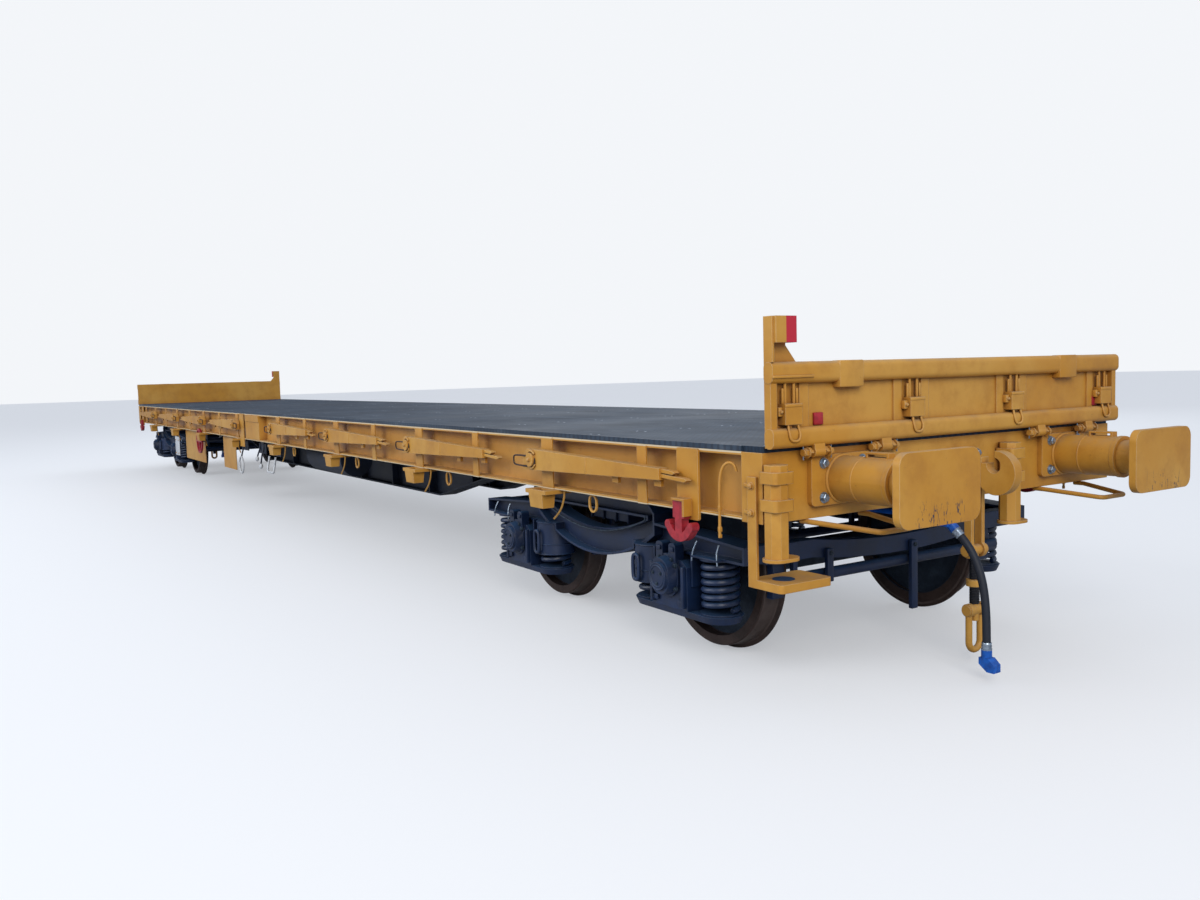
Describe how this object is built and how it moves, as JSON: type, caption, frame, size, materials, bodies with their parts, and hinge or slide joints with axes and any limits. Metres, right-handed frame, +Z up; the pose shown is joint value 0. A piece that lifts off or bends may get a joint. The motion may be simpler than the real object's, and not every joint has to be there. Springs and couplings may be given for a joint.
{
  "type": "bogie flat wagon for containers and stake loads",
  "caption": "Broad-gauge railway bogie flat wagon with folding end boards, folded side stakes, buffers and screw couplings.",
  "frame": {"origin": "middle of the wagon at the height of the lowest point of the wheel flanges", "axes": "+X along the wagon to the near end, +Y to the left, +Z up"},
  "size_m": [19.9, 3.068, 1.8828],
  "materials": {
    "yellow_paint": "weathered orange-yellow enamel",
    "black_frame": "dull dark underframe paint",
    "running_gear": "dull dark paint with grease and dust",
    "spring_steel": "dark painted coil steel",
    "wheel_steel": "rusted forged steel",
    "deck_board": "film-faced anti-slip boards",
    "red_paint": "worn red paint",
    "blue_paint": "glossy blue paint",
    "hose_rubber": "matt hose rubber"
  },
  "bodies": {
    "wagon": {"air_tanks": "black_frame", "bolsters": "black_frame", "brake_cocks": "blue_paint", "brake_hose_far": "hose_rubber", "brake_hose_near": "hose_rubber", "buffer_casings": "yellow_paint", "buffer_heads": "yellow_paint", "centre_beams": "black_frame", "corner_steps": "yellow_paint", "cross_bearers": "black_frame", "deck_panels": "deck_board", "draw_hooks": "yellow_paint", "end_stanchions": "yellow_paint", "handbrake_mounts": "black_frame", "handbrake_wheels": "red_paint", "headstocks": "yellow_paint", "hinge_brackets": "yellow_paint", "hose_head_far": "blue_paint", "hose_head_near": "blue_paint", "lashing_rings": "yellow_paint", "screw_couplings": "yellow_paint", "shunting_rails": "yellow_paint", "side_panels": "yellow_paint", "side_sills": "yellow_paint", "side_stakes": "yellow_paint", "stake_sockets": "yellow_paint", "towing_hooks": "red_paint", "towing_plates": "yellow_paint"},
    "bogie_near": {"bogie_frame_near": "running_gear", "axle_boxes_near": "running_gear", "springs_near": "spring_steel", "bogie_brakes_near": "running_gear"},
    "axle_near_a": {"wheelset_near_a": "wheel_steel"},
    "axle_near_b": {"wheelset_near_b": "wheel_steel"},
    "board_near": {"end_board_near": "yellow_paint", "board_latches_near": "yellow_paint"},
    "bogie_far": {"bogie_frame_far": "running_gear", "axle_boxes_far": "running_gear", "springs_far": "spring_steel", "bogie_brakes_far": "running_gear"},
    "axle_far_a": {"wheelset_far_a": "wheel_steel"},
    "axle_far_b": {"wheelset_far_b": "wheel_steel"},
    "board_far": {"end_board_far": "yellow_paint", "board_latches_far": "yellow_paint"}
  },
  "joints": [
    {"name": "bogie_near_swivel", "type": "hinge", "parent": "wagon", "child": "bogie_near", "pos_m": [7.43, 0, 0.9458], "axis": [0, 0, 1], "range_deg": [-6, 6]},
    {"name": "axle_near_a_roll", "type": "hinge", "parent": "bogie_near", "child": "axle_near_a", "pos_m": [8.33, 0, 0.488], "axis": [0, 1, 0], "continuous": true},
    {"name": "axle_near_b_roll", "type": "hinge", "parent": "bogie_near", "child": "axle_near_b", "pos_m": [6.53, 0, 0.488], "axis": [0, 1, 0], "continuous": true},
    {"name": "board_near_fold", "type": "hinge", "parent": "wagon", "child": "board_near", "pos_m": [9.38, 0, 1.233], "axis": [0, 1, 0], "range_deg": [0, 90]},
    {"name": "bogie_far_swivel", "type": "hinge", "parent": "wagon", "child": "bogie_far", "pos_m": [-7.43, 0, 0.9458], "axis": [0, 0, 1], "range_deg": [-6, 6]},
    {"name": "axle_far_a_roll", "type": "hinge", "parent": "bogie_far", "child": "axle_far_a", "pos_m": [-6.53, 0, 0.488], "axis": [0, 1, 0], "continuous": true},
    {"name": "axle_far_b_roll", "type": "hinge", "parent": "bogie_far", "child": "axle_far_b", "pos_m": [-8.33, 0, 0.488], "axis": [0, 1, 0], "continuous": true},
    {"name": "board_far_fold", "type": "hinge", "parent": "wagon", "child": "board_far", "pos_m": [-9.38, 0, 1.233], "axis": [0, -1, 0], "range_deg": [0, 90]}
  ]
}
